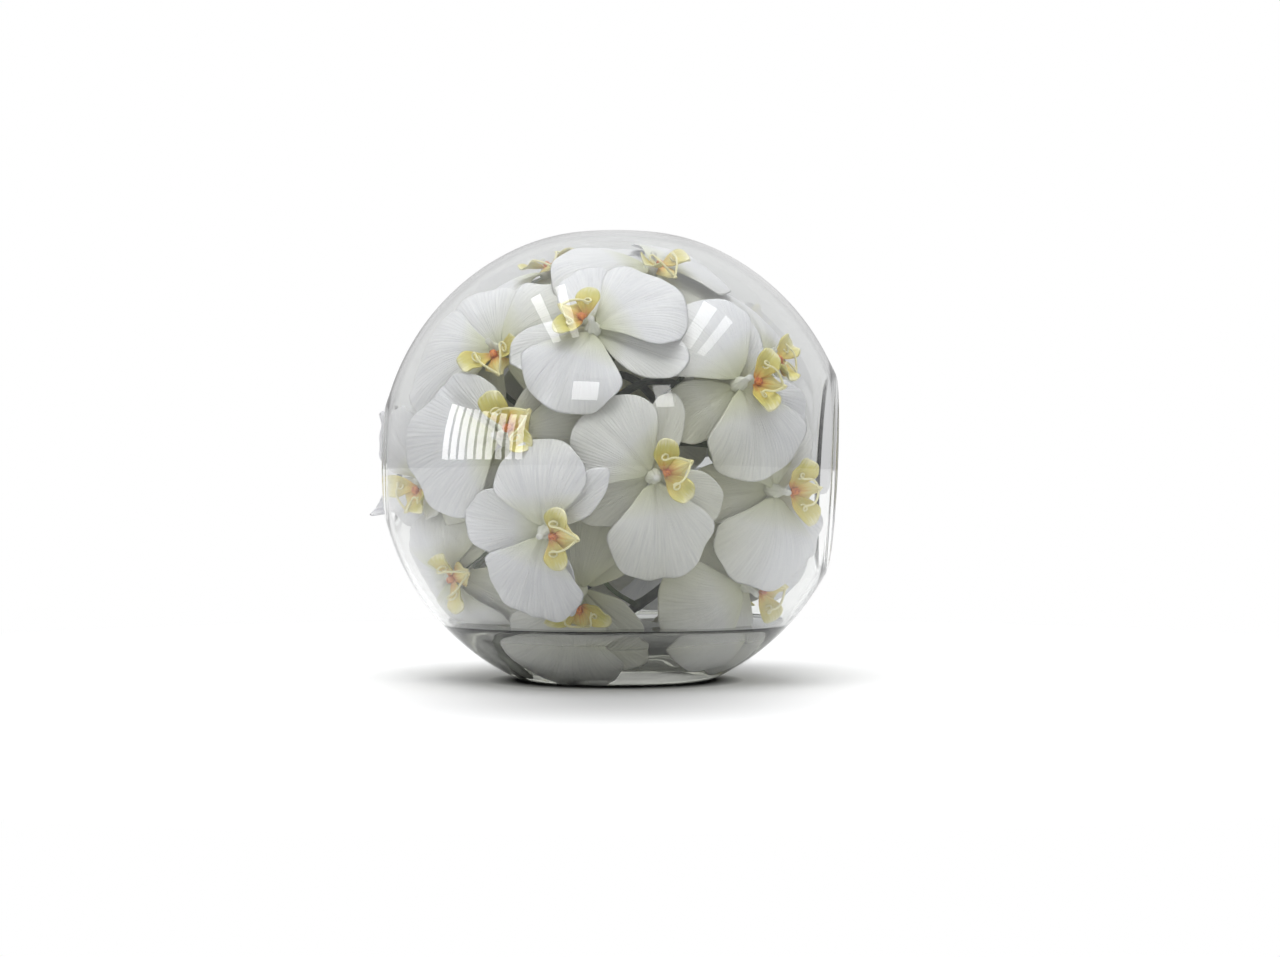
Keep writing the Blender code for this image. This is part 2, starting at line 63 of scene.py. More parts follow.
# Petals
REACH = 0.1245
SOFT = 0.004
CLEAR_OF_WATER = 0.0012
CLEAR_OF_FLOOR = 0.0025
SPILL_R = 0.0285
SPILL_X = -0.125
SPILL_IN = 0.65
SPILL_OUT = 0.5
CALYX_DEPTH = 0.0062
BLADES = {
    "dorsal": dict(turn=0, length=0.046, half=0.0170, root=-0.0012, bow=-0.002, cup=0.002, claw=0.62),
    "sepal_a": dict(turn=128, length=0.044, half=0.0145, root=-0.0012, bow=-0.002, cup=0.002, claw=0.62),
    "sepal_b": dict(turn=-128, length=0.044, half=0.0145, root=-0.0012, bow=-0.002, cup=0.002, claw=0.62),
    "petal_a": dict(turn=76, length=0.050, half=0.0262, root=0.0016, bow=0.003, cup=-0.002, claw=0.42),
    "petal_b": dict(turn=-76, length=0.050, half=0.0262, root=0.0016, bow=0.003, cup=-0.002, claw=0.42),
}
BLADE_ROOT_R = 0.002
PETAL_T = 0.0007
LIP_T = 0.0008
LIP_DROP = 0.0042  # from the bloom's axis down to the throat of the lip

# Stems
STEM_R = 0.0029
STEM_TIP_R = 0.0021
STALK_R = 0.0013
STALK_RADIAL = 0.015
ROUTE_STEP = 0.0016  # distance of the rings along a stem
NODE_SPACING = 0.032

# Blooms at the crown, the sides and the back whose blades are a little longer here, to close the gaps between them
FULLER = {"03": 1.10, "05": 1.16, "06": 1.12, "07": 1.12, "09": 1.12, "17": 1.18, "18": 1.05, "19": 1.12,
          "20": 1.12, "21": 1.12, "22": 1.08, "23": 1.08, "24": 1.12, "26": 1.08, "27": 1.08}


def bloom(name, azimuth, elevation, depth_mm, spin, **more):
    """One bloom of the arrangement, as in the part: where it sits, its distance from the sphere's centre, the
    direction of its dorsal sepal, and what sets it apart from the others."""
    row = dict(name=name, azimuth=azimuth, elevation=elevation, depth=depth_mm / 1000, spin=spin)
    row.update(tilt=(0, 0), size=1.0, lip=0, curl=depth_mm / 1000, dips=False, spills=False, blades={})
    row.update(more)
    row["fuller"] = FULLER.get(name, 1.0)
    return row


LEFT_STEM = "stem_left"
FRONT_STEM = "stem_front"
BACK_STEM = "stem_back"

ARRANGEMENT = {
    LEFT_STEM: [
        bloom("01", -7, 37, 113, 319, tilt=(0, 0.1), lip=-10, blades=dict(
            dorsal=(-27, 1.1, 0.9, 0), petal_a=(-6, 0.94, 1, 0), sepal_a=(0, 1.05, 1, 0), sepal_b=(-15, 1.12, 1, 0))),
        bloom("02", -70, -33, 111, 180, tilt=(-0.6, -0.2), blades=dict(petal_a=(15, 0.75, 1, -0.009))),
        bloom("03", -47, 35, 102, 125, tilt=(-0.4, 0.15), blades=dict(
            dorsal=(-15, 0.88, 1.2, 0.001), petal_a=(0, 1, 1, -0.002), petal_b=(0, 1, 1, -0.002))),
        bloom("04", -76, -5, 103, 66, tilt=(-0.6, 0), curl=0.4, spills=True, lip=10, blades=dict(
            petal_a=(0, 0.7, 0.8, 0), dorsal=(0, 0.8, 1, 0), sepal_a=(0, 0.45, 0.8, 0.009),
            petal_b=(13, 0.95, 0.65, 0), sepal_b=(-11, 1.25, 0.85, 0))),
        bloom("05", -84, 33, 98, 150, blades=dict(petal_a=(0, 1, 1, -0.006))),
        bloom("06", -95, 70, 112, 200, tilt=(-0.35, 0), blades=dict(
            petal_a=(0, 1, 1, 0.004), sepal_a=(0, 0.9, 1, 0.005), sepal_b=(0, 1, 1, 0.005))),
        bloom("07", 30, 70, 111, 105, tilt=(0, 0.35), blades=dict(
            dorsal=(0, 0.94, 1, -0.004), petal_b=(0, 1, 1, -0.008), sepal_b=(0, 1, 1, -0.005),
            sepal_a=(0, 0.9, 1, 0))),
        bloom("08", -112, -34, 111, 50, blades=dict(petal_a=(0, 1, 1, -0.003), petal_b=(0, 1, 1, -0.009))),
        bloom("09", -138, 38, 104, 130),
    ],
    FRONT_STEM: [
        bloom("10", 40, 22, 108, 204, tilt=(0.3, 0.12), lip=40, blades=dict(petal_a=(12, 1, 1, 0))),
        bloom("11", 11, -4, 104, 203, blades=dict(
            dorsal=(0, 1, 1, -0.005), sepal_a=(0, 1, 0.7, 0), petal_a=(-10, 0.92, 0.96, -0.001),
            petal_b=(0, 1.1, 1, 0))),
        bloom("12", -19, -18, 113, 174, tilt=(0, -0.1), blades=dict(
            dorsal=(0, 1, 1, 0.003), petal_a=(5, 0.93, 0.93, 0), petal_b=(0, 0.95, 0.95, 0),
            sepal_a=(5, 1, 0.6, 0.006), sepal_b=(22, 1, 0.5, 0.003))),
        bloom("13", 54, -8, 104, 188, tilt=(0.45, -0.1)),
        bloom("14", 57, -38, 104, 148, tilt=(0.45, -0.35), dips=True, lip=-50),
        bloom("15", -15, -43, 97, 172, tilt=(-0.1, -0.35), dips=True, lip=80, blades=dict(
            sepal_b=(0, 1, 0.8, 0), petal_a=(8, 0.8, 1, 0))),
        bloom("16", -33, 7, 104, 275, tilt=(-0.3, 0.05), size=1.08, lip=55, blades=dict(
            dorsal=(0, 1, 1, -0.006), petal_b=(0, 0.9, 1, 0))),
        bloom("17", 72, 34, 100, 130, tilt=(0.3, 0.05), blades=dict(
            sepal_b=(0, 1, 1, 0.006), dorsal=(0, 0.9, 1, 0))),
        bloom("18", 80, -48, 94, 120, tilt=(0.15, -0.1), blades=dict(
            petal_a=(0, 1, 1, -0.006), petal_b=(-14, 1, 0.95, 0))),
    ],
    BACK_STEM: [
        bloom("19", 98, 8, 93, 100, blades=dict(petal_b=(0, 1, 1, -0.004))),
        bloom("20", 128, 45, 104, 60),
        bloom("21", 175, 62, 94, 0),
        bloom("22", 138, 6, 112, 150),
        bloom("23", -130, 4, 112, 30),
        bloom("24", 180, 18, 96, 270, blades=dict(sepal_b=(0, 1, 1, -0.003))),
        bloom("25", 165, -24, 112, 210),
        bloom("26", 122, -34, 103, 330, blades=dict(sepal_a=(0, 1, 1, 0.006))),
        bloom("27", -150, -35, 102, 100, blades=dict(petal_a=(0, 1, 1, -0.004))),
    ],
}

# Routes of the stems from foot to tip, as in the part: (x, y, height above the sphere's centre)
ROUTES = {
    LEFT_STEM: (
        (-0.046, -0.032, -0.1085), (-0.053, -0.026, -0.088), (-0.060, -0.006, -0.045), (-0.060, 0.004, -0.005),
        (-0.048, 0.006, 0.032), (-0.020, 0.000, 0.056), (0.012, -0.006, 0.062), (0.034, -0.012, 0.060)),
    FRONT_STEM: (
        (-0.020, -0.012, -0.1085), (-0.006, -0.020, -0.090), (0.010, -0.029, -0.078), (0.028, -0.034, -0.064),
        (0.048, -0.028, -0.040), (0.058, -0.020, -0.005), (0.048, -0.028, 0.030), (0.024, -0.044, 0.044),
        (0.000, -0.053, 0.034), (-0.022, -0.050, 0.014)),
    BACK_STEM: (
        (-0.044, -0.006, -0.1085), (-0.036, 0.022, -0.090), (-0.010, 0.046, -0.062), (0.024, 0.054, -0.022),
        (0.030, 0.050, 0.020), (0.006, 0.048, 0.050), (-0.026, 0.040, 0.042), (-0.046, 0.030, 0.012)),
}


# Meshes


class Patch:
    """A closed surface under way: points (n, 3), faces as arrays of 3 or 4 columns, a UV (n, 2) and a tone (n)."""

    def __init__(self, points, faces, uv=None, tone=0.0):
        self.points = points.reshape(-1, 3)
        n = len(self.points)
        self.faces = self.turned_out(faces)
        self.uv = np.zeros((n, 2)) if uv is None else uv.reshape(-1, 2)
        self.tone = np.broadcast_to(np.asarray(tone, float).reshape(-1), (n,))

    def turned_out(self, faces):
        """Each face's corners the other way round where the volume that they enclose is negative."""
        middle = self.points.mean(0)
        volume = 0.0
        for f in faces:
            corners = self.points[f] - middle
            for k in range(1, f.shape[1] - 1):
                volume += np.einsum("ij,ij->i", corners[:, 0], np.cross(corners[:, k], corners[:, k + 1])).sum()
        return faces if volume > 0 else [f[:, ::-1] for f in faces]


def make_piece(name, patches, material, slot, *nodes):
    """One object from closed patches, smooth shaded, riding on the root in place of CAD nodes."""
    starts = np.cumsum([0] + [len(p.points) for p in patches])
    points = np.vstack([p.points for p in patches])
    faces = [f + start for p, start in zip(patches, starts, strict=False) for f in p.faces]
    corners = np.concatenate([f.ravel() for f in faces])
    sizes = np.concatenate([np.full(len(f), f.shape[1]) for f in faces])
    mesh = bpy.data.meshes.new(name)
    mesh.vertices.add(len(points))
    mesh.vertices.foreach_set("co", points.astype(np.float32).ravel())
    mesh.loops.add(len(corners))
    mesh.loops.foreach_set("vertex_index", corners.astype(np.int32))
    mesh.polygons.add(len(sizes))
    mesh.polygons.foreach_set("loop_start", np.concatenate([[0], np.cumsum(sizes)[:-1]]).astype(np.int32))
    mesh.update(calc_edges=True)
    uv = np.vstack([p.uv for p in patches])[corners]
    mesh.uv_layers.new(name="growth").data.foreach_set("uv", uv.astype(np.float32).ravel())
    tone = mesh.attributes.new("tone", "FLOAT", "POINT")
    tone.data.foreach_set("value", np.concatenate([p.tone for p in patches]).astype(np.float32))
    mesh.shade_smooth()
    mesh.materials.append(material)
    obj = bpy.data.objects.new(name, mesh)
    bpy.context.scene.collection.objects.link(obj)
    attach(obj, "root")
    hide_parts(*nodes)
    return obj


def grid_quads(index, wrap=(False, False)):
    """Quads between neighbours of a 2-D array of point numbers, closed round where wrap says so."""
    for axis in (0, 1):
        if wrap[axis]:
            index = np.concatenate([index, np.take(index, [0], axis)], axis)
    corners = index[:-1, :-1], index[1:, :-1], index[1:, 1:], index[:-1, 1:]
    return np.stack([c.ravel() for c in corners], axis=1)


def round_grid(rows, columns):
    """A square grid, a little denser towards its sides, pressed round into the unit disk: u, v and how far each
    point is from the middle, 0 to 1 at the rim."""
    s, t = (np.linspace(-1, 1, n + 1) for n in (rows, columns))
    s, t = np.meshgrid(s * (1.12 - 0.12 * s * s), t * (1.12 - 0.12 * t * t), indexing="ij")
    return s * np.sqrt(1 - t * t / 2), t * np.sqrt(1 - s * s / 2), np.maximum(abs(s), abs(t))


def leaf_patch(surface, rows, columns, thickness, growth, tone):
    """A thin closed leaf: the surface over the unit disk, pushed half the thickness to either side along its
    normal, by sqrt(1 - rim**8) so that both sides meet in a rounded rim."""
    u, v, rim = round_grid(rows, columns)
    e = 1e-3
    normal = np.cross(surface(u + e, v) - surface(u - e, v), surface(u, v + e) - surface(u, v - e))
    normal /= np.linalg.norm(normal, axis=-1, keepdims=True)
    push = normal * (thickness / 2 * np.sqrt(np.clip(1 - rim**8, 0, 1)))[..., None]
    middle = surface(u, v)
    inside = rim < 1 - 1e-9
    front = np.arange(u.size).reshape(u.shape)
    back = front.copy()
    back[inside] = u.size + np.arange(inside.sum())
    points = np.vstack([(middle + push).reshape(-1, 3), (middle - push)[inside]])
    uv = growth(u, v)
    uv = np.vstack([uv.reshape(-1, 2), uv[inside]])
    return Patch(points, [grid_quads(front), grid_quads(back)[:, ::-1]], uv, tone)


def ring_patch(rings, uv=None, tone=0.0):
    """A closed skin over rings of points, an (n, sides, 3) array, whose ends are fans to their middles."""
    n, sides = rings.shape[:2]
    index = np.arange(n * sides).reshape(n, sides)
    ends = [np.append(index[k], index[k, 0]) for k in (0, -1)]
    poles = [np.full(sides, n * sides + k) for k in (0, 1)]
    fans = [
        np.stack([poles[0], ends[0][:-1], ends[0][1:]], axis=1),
        np.stack([poles[1], ends[1][1:], ends[1][:-1]], axis=1)]
    points = np.vstack([rings.reshape(-1, 3), rings[0].mean(0), rings[-1].mean(0)])
    if uv is not None:
        uv = np.vstack([uv.reshape(-1, 2), uv[0].mean(0), uv[-1].mean(0)])
    if np.ndim(tone):
        tone = np.concatenate([np.repeat(tone, sides), [tone[0], tone[-1]]])
    return Patch(points, [grid_quads(index, (False, True)), *fans], uv, tone)


# Places


def directions(row):
    """A bloom's own axes x, y (towards the dorsal sepal) and out, with the bowl's right and up at that place."""
    a, e, s = np.radians([row["azimuth"], row["elevation"], row["spin"]])
    out = np.array([np.cos(e) * np.sin(a), -np.cos(e) * np.cos(a), np.sin(e)])
    right = np.array([np.cos(a), np.sin(a), 0.0])
    up = np.cross(out, right)
    y = np.cos(s) * right + np.sin(s) * up
    return np.cross(y, out), y, out, right, up


def within(distance, limit):
    """The factor that brings a distance softly below its limit."""
    start = limit - SOFT
    return np.where(distance > start, start + SOFT * np.tanh((distance - start) / SOFT), distance) / distance


def place(x, y, z, row):
    """From a bloom's own coordinates into the bowl, as in the part: tilted, bent round a sphere, bent along the
    glass where it would pass it, and clear of the water unless it dips in."""
    ax, ay, out, right, up = directions(row)
    x, y, z = x * row["size"], y * row["size"], z * row["size"]
    s = np.sqrt(x * x + y * y) + 1e-9
    to_right, to_up = row["tilt"]
    z = z + to_right * (x * (ax @ right) + y * (ay @ right)) + to_up * (x * (ax @ up) + y * (ay @ up))
    curl = row["curl"]
    along = (curl + z) * np.sin(s / curl) / s
    height = row["depth"] - curl + (curl + z) * np.cos(s / curl)
    p = (x * along)[..., None] * ax + (y * along)[..., None] * ay + height[..., None] * out
    if row["spills"]:
        x = p[..., 0]
        limit = SPILL_R + np.where(x > SPILL_X, SPILL_IN * (x - SPILL_X), SPILL_OUT * (SPILL_X - x))
        p[..., 1:] *= within(np.linalg.norm(p[..., 1:], axis=-1), limit)[..., None]
    else:
        p *= within(np.linalg.norm(p, axis=-1), REACH)[..., None]
    floor = (FLOOR_T + CLEAR_OF_FLOOR if row["dips"] else WATER_TOP + CLEAR_OF_WATER) - CENTRE_Z
    over = p[..., 2] - floor
    p[..., 2] = floor + np.where(over < SOFT, SOFT * np.exp(np.minimum(over / SOFT - 1, 0)), over)
    crown = np.exp(-((p[..., 0] ** 2 + p[..., 1] ** 2) / CROWN_SPREAD**2))
    p[..., 2] += CENTRE_Z - CROWN_DROP * crown * np.clip(p[..., 2] / REACH, 0, 1)
    return p


# Blooms


def petal_patch(name, row):
    """A petal or sepal. The unit disk is stretched to its length and width, narrowed to a claw at the root, bowed
    and cupped as in the part. On top come a scalloped outline, a soft fold along the midrib, ruffles that grow
    with the cube of the distance from the middle, folds that fan out from the root, and a slack ripple, each from
    this blade's own seeded draw."""
    blade = BLADES[name]
    turn, longer, wider, lift = row["blades"].get(name, (0, 1, 1, 0))
    place_in_order = list(BLADES).index(name)
    draw = np.random.default_rng(100 * int(row["name"]) + place_in_order)
    phases = draw.uniform(0, 2 * np.pi, 6)
    broad = name.startswith("petal")
    a = math.radians(blade["turn"] + turn)
    ruffle, count = (0.0016, draw.integers(4, 6)) if broad else (0.0010, draw.integers(3, 5))
    half = blade["half"] * wider * (1.09 if broad else 1.12) * row["fuller"]
    tip_roll = draw.uniform(-0.003, 0.002)

    def flat(u, v):
        angle = np.arctan2(v, u)
        far = np.hypot(u, v)
        scallop = 0.022 * np.sin(3 * angle + phases[0]) + 0.012 * np.sin(8 * angle + phases[1])
        point = 0.0 if broad else 0.05 * np.exp(-((angle / 0.35) ** 2))
        grow = 1 + (scallop - 0.02 + point) * far**4
        u, v = u * grow, v * grow
        t = (1 + u) / 2
        r = BLADE_ROOT_R + blade["length"] * longer * row["fuller"] * t
        widening = np.clip(t / 0.5, 0, 1)
        widening = widening**2 * (3 - 2 * widening)
        return t, r, half * v * (blade["claw"] + (1 - blade["claw"]) * widening), v, angle, far

    def surface(u, v):
        t, r, w, v, angle, far = flat(u, v)
        wave = 0.0008 * np.sin(5 * np.arctan2(v, u + 1.3) + 1.7 * place_in_order + 2.2 * u) * far**2 * t
        wave += ruffle * np.sin(count * angle + phases[2]) * far**3 * t
        wave += 0.35 * ruffle * np.sin((2 * count + 1) * angle + phases[3]) * far**5 * t
        wave += 0.0006 * np.sin(170 * r + phases[4]) * np.sin(150 * w + phases[5]) * t
        fan = np.arctan2(w, r)
        fold = (0.00007 + 0.00007 * np.sin(5 * fan + phases[5] + 60 * r)) * np.sin(np.pi * np.clip(t, 0, 1)) ** 0.7
        wave += fold * np.sin(26 * fan + phases[4])
        midrib = -0.0010 * np.exp(-((v / 0.09) ** 2)) * (1 - 0.6 * t)
        z = blade["root"] + blade["bow"] * np.sin(np.pi * t) + blade["cup"] * v * v * t + lift * t + wave + midrib
        z = z + tip_roll * np.clip(t - 0.75, 0, 1) * 2
        return place(r * math.sin(a) + w * math.cos(a), r * math.cos(a) - w * math.sin(a), z, row)

    def growth(u, v):
        _, r, w, *_ = flat(u, v)
        return np.stack([np.arctan2(w, r), r / 0.05], axis=-1)

    rows, columns = (34, 42) if broad else (28, 24)
    return leaf_patch(surface, rows, columns, PETAL_T, growth, draw.uniform(0, 1))


COLUMN_RINGS = (  # height and radius: calyx, core where the blades meet, neck, and the rounded anther cap
    (-0.0062, 0.0004), (-0.0060, 0.0016), (-0.0050, 0.0026), (-0.0036, 0.0032), (-0.0016, 0.0040), (0.0004, 0.0044),
    (0.0022, 0.0034), (0.0040, 0.0023), (0.0060, 0.0017), (0.0076, 0.0017), (0.0086, 0.0018), (0.0093, 0.0015),
    (0.0097, 0.0009), (0.0098, 0.0002))


def column_patch(row):
    """The middle of a bloom: rings round its axis, pressed a little narrower from side to side at the cap."""
    z, r = np.array(COLUMN_RINGS).T
    around = np.arange(20) * 2 * np.pi / 20
    x = r[:, None] * np.cos(around) * np.where(z > 0.005, 0.85, 1)[:, None]
    y = r[:, None] * np.sin(around)
    uv = np.stack(np.broadcast_arrays(around[None, :] * 0.1, (0.20 + z / 0.09)[:, None]), axis=-1)
    return ring_patch(place(x, y, np.broadcast_to(z[:, None], x.shape), row), uv, 0.5)


LOBES = {  # turn from the lip's axis, length, half width, rise to the tip, cup, tone for the finish
    "middle": (0, 0.0146, 0.0058, 0.0034, -0.0020, 0.75),
    "left": (-66, 0.0156, 0.0060, 0.0086, 0.0064, 0.5),
    "right": (66, 0.0156, 0.0060, 0.0086, 0.0064, 0.5),
}


def lobe_shape(u, v, name):
    """A lobe of the lip over the unit disk. The side lobes are round ears that stand up and are hollow in front,
    with a frilled edge. The middle lobe is keeled and has two shoulders before its narrow tip."""
    turn, length, half, rise, cup, _ = LOBES[name]
    t = (1 + u) / 2
    r = 0.0010 + length * t
    spread = np.clip(t / 0.55, 0, 1)
    full = 0.38 + 0.62 * spread**2 * (3 - 2 * spread)
    frill = 0.0004 * np.sin(7 * np.arctan2(v, u)) * np.hypot(u, v) ** 4
    z = 0.0054 + rise * np.clip(t, 0, 1) ** 1.6 + cup * v * v * t + frill
    if name == "middle":
        full = 0.50 + 0.75 * np.exp(-(((t - 0.42) / 0.20) ** 2)) - 0.20 * np.clip(t - 0.6, 0, 1)
        z += 0.0010 * np.exp(-((v / 0.22) ** 2)) * np.sin(np.pi * t)
    else:
        z -= 0.0090 * np.clip(t - 0.62, 0, 1) ** 1.5
    w = half * v * full
    a = math.radians(turn)
    return -r * math.sin(a) + w * math.cos(a), -r * math.cos(a) - w * math.sin(a) - LIP_DROP, z


def swung(x, y, z, row):
    """Turned by the lip's swing round the bloom's axis, then placed."""
    q = math.radians(row["lip"])
    return place(x * math.cos(q) + y * math.sin(q), y * math.cos(q) - x * math.sin(q), z, row)


def path_tube(path, radii, sides, tone=0.0):
    """A round skin along a path: each ring stands square to the path, and its first direction is square to the
    one in which the path turns least. Both ends close in a short dome."""
    length = np.linalg.norm(np.diff(path, axis=0), axis=1)
    tangent = np.gradient(path, axis=0)
    tangent /= np.linalg.norm(tangent, axis=1, keepdims=True)
    steady = np.linalg.svd(tangent, full_matrices=True)[2][-1]
    first = np.cross(tangent, steady)
    first /= np.linalg.norm(first, axis=1, keepdims=True)
    second = np.cross(tangent, first)
    dome = np.array([0.25, 0.75])
    path = np.vstack([
        path[0] - tangent[0] * radii[0] * np.array([[0.9], [0.55]]), path,
        path[-1] + tangent[-1] * radii[-1] * np.array([[0.55], [0.9]])])
    radii = np.concatenate([radii[0] * dome, radii, radii[-1] * dome[::-1]])
    first, second = (np.vstack([a[:1], a[:1], a, a[-1:], a[-1:]]) for a in (first, second))
    around = np.arange(sides) * 2 * np.pi / sides
    ring = np.cos(around)[:, None] * first[:, None] + np.sin(around)[:, None] * second[:, None]
    run = np.concatenate([[0, 0, 0], np.cumsum(length), [length.sum()] * 2])
    uv = np.stack(np.broadcast_arrays((around / (2 * np.pi))[None, :], (run / 0.05)[:, None]), axis=-1)
    if np.ndim(tone):
        tone = np.concatenate([[tone[0]] * 2, tone, [tone[-1]] * 2])
    return ring_patch(path[:, None] + radii[:, None, None] * ring, uv, tone)


def lip_patches(row):
    """The three lobes of the lip, the callus in its throat, and two thin tendrils, which rise from the middle
    lobe's tip, bow out to the sides, come back over the throat and end in a loop."""
    row = {**row, "dips": False}
    patches = []

    def growth(u, v):
        return np.stack([v * 0.8, (1 + u) / 2], axis=-1)

    for name, (*_, tone) in LOBES.items():

        def surface(u, v, name=name):
            return swung(*lobe_shape(u, v, name), row)

        patches.append(leaf_patch(surface, 20, 18, LIP_T, growth, tone))
    around = np.arange(16) * 2 * np.pi / 16
    fall = np.linspace(0.05, np.pi - 0.05, 10)[:, None]
    x = 0.0022 * np.sin(fall) * np.cos(around) * (1 - 0.25 * np.cos(2 * around))
    y = -0.0058 + 0.0020 * np.sin(fall) * np.sin(around)
    patches.append(ring_patch(swung(x, y, 0.0068 + 0.0017 * np.cos(fall) + 0 * x, row), tone=0.0))
    t = np.linspace(0, 1, 34)
    loop = 2 * np.pi * 1.1 * np.clip((t - 0.5) / 0.5, 0, 1)
    for side in (-1, 1):
        x = side * (0.0008 + 0.0052 * np.sin(np.pi * np.minimum(t, 0.5)) + 0.0013 * (1 - np.cos(loop)))
        y = -0.0176 + 0.0105 * np.minimum(t / 0.55, 1) + 0.0018 * np.sin(loop)
        z = 0.0084 + 0.0034 * np.sin(np.pi * np.clip(t * 1.15, 0, 1)) + 0.0010 * t
        patches.append(path_tube(swung(x, y, z, row), 0.00066 - 0.00020 * t, 8, np.ones(len(t))))
    return patches


# Stems


def smooth_route(points, step):
    """Points at even steps along a smooth curve (Catmull-Rom) through the given ones."""
    p = np.array(points)
    p = np.vstack([2 * p[0] - p[1], p, 2 * p[-1] - p[-2]])
    t = np.linspace(0, 1, 24, endpoint=False)[:, None]
    dense = [
        0.5 * (2 * b + (c - a) * t + (2 * a - 5 * b + 4 * c - d) * t**2 + (3 * b - a - 3 * c + d) * t**3)
        for a, b, c, d in zip(p, p[1:], p[2:], p[3:], strict=False)
    ]
    dense = np.vstack([*dense, p[-2:-1]])
    length = np.concatenate([[0], np.cumsum(np.linalg.norm(np.diff(dense, axis=0), axis=1))])
    even = np.linspace(0, length[-1], max(int(round(length[-1] / step)), 2) + 1)
    return np.stack([np.interp(even, length, dense[:, i]) for i in range(3)], axis=1)


def stem_patches(name, rows):
    """A stem, swollen at its nodes, and the left one also at its foot in the water, with a flower stalk to each
    of its blooms: out from the stem's nearest point, in one bend, and straight into the bloom's calyx, where it
    swells a little."""
    coarse = smooth_route(ROUTES[name], 0.012)
    route = smooth_route(ROUTES[name], ROUTE_STEP)
    run = np.arange(len(route)) * ROUTE_STEP
    node = np.exp(-(((run - 0.014) % NODE_SPACING - 0.004) / 0.0013) ** 2)
    radii = np.linspace(STEM_R, STEM_TIP_R, len(route)) * (0.94 + 0.22 * node)
    if name == LEFT_STEM:
        over = route[:, 2] + CENTRE_Z - WATER_TOP + 0.003
        radii = radii * (1 + 0.7 / (1 + np.exp(over / 0.0015)))
    patches = [path_tube(route + CENTRE, radii, 18, 0.1 * node)]
    for row in rows:
        out = directions(row)[2]
        end = place(np.zeros(1), np.zeros(1), np.array([-CALYX_DEPTH + 0.0004]), row)[0] - CENTRE
        turn = end - out * STALK_RADIAL
        start = coarse[np.argmin(np.linalg.norm(coarse - turn, axis=1))]
        stalk = smooth_route([start, (start + turn) / 2 + out * 0.004, turn, end], 0.0015)
        t = np.linspace(0, 1, len(stalk))
        radii = STALK_R * (1.02 + 0.3 * np.exp(-(t / 0.08) ** 2) + 0.25 * np.exp(-((1 - t) / 0.1) ** 2))
        patches.append(path_tube(stalk + CENTRE, radii, 12, 0.3 + 0.7 * t))
    return patches


# Glass and water


def pressed(p, floor, rounding):
    """Crown pressed a little flat, and everything below the floor pressed softly up to it."""
    r2 = p[..., 0] ** 2 + p[..., 1] ** 2
    z = p[..., 2] - CROWN_DROP * np.exp(-r2 / CROWN_SPREAD**2) * (p[..., 2] > CENTRE_Z)
    z = floor + rounding * np.logaddexp(0, (z - floor) / rounding)
    return np.stack([p[..., 0], p[..., 1], z], axis=-1)


def bowl_patch():
    """The blown shell as one closed ring of rings. A ring runs round the X axis at an angle from the left mouth to
    the right one, on the outer sphere, then over the right rim, back on the inner sphere and over the left rim.
    Towards the right mouth the rings lean by its angle. Rims are half circles, swollen a little."""
    wall_middle = BOWL_R - WALL / 2
    half = WALL / 2
    left = math.asin((LEFT_BORE_R + half) / wall_middle)
    right = math.pi - math.asin((RIGHT_BORE_R + half) / wall_middle)
    along = np.linspace(0, 1, 150)
    along = left + (right - left) * (along + 0.035 / np.pi * np.sin(4 * np.pi * along))
    over = np.linspace(0, np.pi, 13)[1:-1]
    swell = RIM_SWELL * (np.exp(-((along - left) / 0.03) ** 2) + np.exp(-((right - along) / 0.03) ** 2))
    bead = half + RIM_SWELL
    radius = np.concatenate([
        BOWL_R + swell, wall_middle + bead * np.cos(over), BOWL_R - WALL - swell[::-1],
        wall_middle - bead * np.cos(over)])
    angle = np.concatenate([
        along, right + bead / wall_middle * np.sin(over), along[::-1], left - bead / wall_middle * np.sin(over)])
    f = np.arange(260) / 260 * 2 * np.pi
    around = f + 0.4 * np.sin(f)
    x = np.broadcast_to((-radius * np.cos(angle))[:, None], (len(angle), len(f)))
    y = (radius * np.sin(angle))[:, None] * np.sin(around)
    z = (radius * np.sin(angle))[:, None] * np.cos(around)
    lean = (RIGHT_MOUTH_LEAN * (angle - left) / (right - left))[:, None]
    x, z = x * np.cos(lean) + z * np.sin(lean), z * np.cos(lean) - x * np.sin(lean)
    p = np.stack([x, y, z + CENTRE_Z], axis=-1)
    outside = (radius > wall_middle)[:, None, None]
    p = np.where(outside, pressed(p, 0, FOOT_ROUNDING), pressed(p, FLOOR_T, FLOOR_ROUNDING))
    index = np.arange(p.shape[0] * p.shape[1]).reshape(p.shape[:2])
    return Patch(p, [grid_quads(index, (True, True))])


